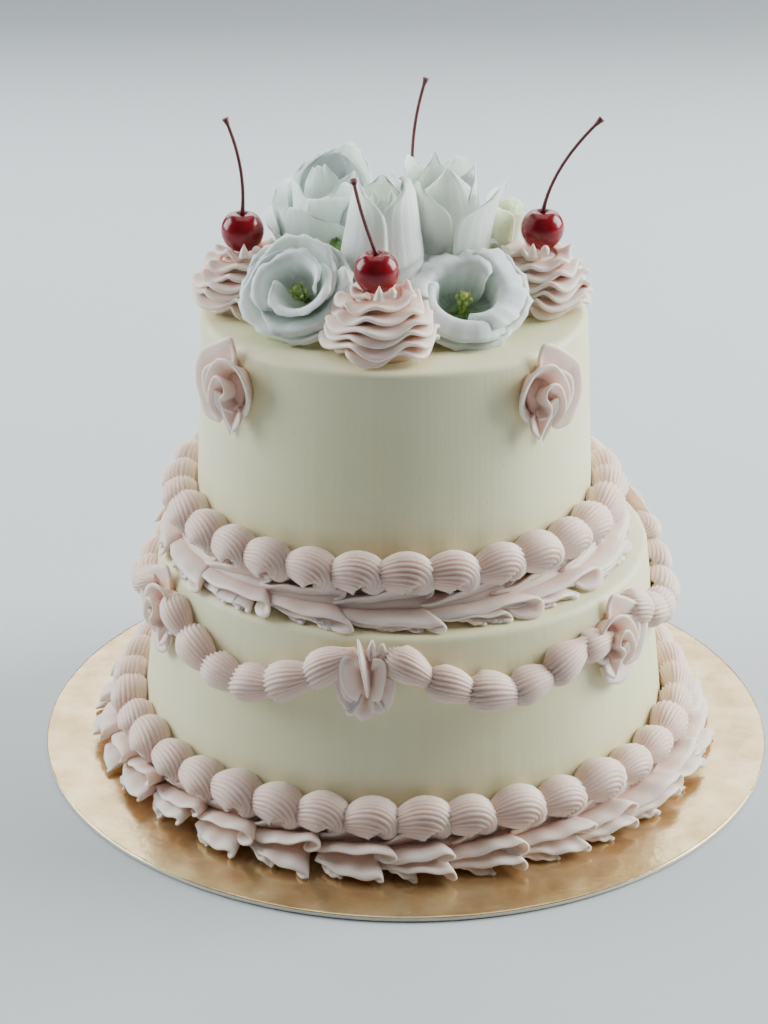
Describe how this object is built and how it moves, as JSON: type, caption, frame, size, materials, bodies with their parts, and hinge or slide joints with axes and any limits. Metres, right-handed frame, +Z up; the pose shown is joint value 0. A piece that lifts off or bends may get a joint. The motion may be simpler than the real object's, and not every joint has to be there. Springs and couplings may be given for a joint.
{
  "type": "tiered cake",
  "caption": "Round two-tier buttercream cake on a thin gold card, with piped shell borders, hanging swags, ruffled swirls holding stemmed cherries, and white flowers on top.",
  "frame": {"origin": "centre of the underside of the round card", "axes": "+Z up, through the cake; -Y towards the front, the side with the piped swirl and its cherry nearest the viewer; +X to the viewer's right"},
  "size_m": [0.3048, 0.3048, 0.2674],
  "materials": {
    "gold_card": "gold foil",
    "ivory_buttercream": "satin",
    "pink_buttercream": "satin",
    "cherry_skin": "gloss",
    "cherry_stem": "satin",
    "white_petal": "matte",
    "flower_green": "matte"
  },
  "bodies": {
    "root": {"board": "gold_card", "cherry_back": "cherry_skin", "cherry_front": "cherry_skin", "cherry_left": "cherry_skin", "cherry_right": "cherry_skin", "garland_rosette_1": "pink_buttercream", "garland_rosette_2": "pink_buttercream", "garland_rosette_3": "pink_buttercream", "garland_rosette_4": "pink_buttercream", "garland_rosette_5": "pink_buttercream", "garland_rosette_6": "pink_buttercream", "heart_back": "flower_green", "heart_far": "flower_green", "heart_left": "flower_green", "heart_right": "flower_green", "leaf": "flower_green", "lisianthus_back": "white_petal", "lisianthus_far": "white_petal", "lisianthus_left": "white_petal", "lisianthus_right": "white_petal", "lower_foot_ruffle": "pink_buttercream", "lower_foot_shells": "pink_buttercream", "lower_tier": "ivory_buttercream", "ruffled_bloom": "white_petal", "side_rosette_1": "pink_buttercream", "side_rosette_2": "pink_buttercream", "side_rosette_3": "pink_buttercream", "side_rosette_4": "pink_buttercream", "small_bloom": "white_petal", "stalk_back": "flower_green", "stalk_far": "flower_green", "stalk_left": "flower_green", "stalk_right": "flower_green", "stem_back": "cherry_stem", "stem_front": "cherry_stem", "stem_left": "cherry_stem", "stem_right": "cherry_stem", "swag_1": "pink_buttercream", "swag_2": "pink_buttercream", "swag_3": "pink_buttercream", "swag_4": "pink_buttercream", "swag_5": "pink_buttercream", "swag_6": "pink_buttercream", "swirl_back": "pink_buttercream", "swirl_front": "pink_buttercream", "swirl_left": "pink_buttercream", "swirl_right": "pink_buttercream", "tulip_bud": "white_petal", "tulip_open": "white_petal", "upper_foot_ruffle": "pink_buttercream", "upper_foot_shells": "pink_buttercream", "upper_tier": "ivory_buttercream"}
  },
  "joints": []
}
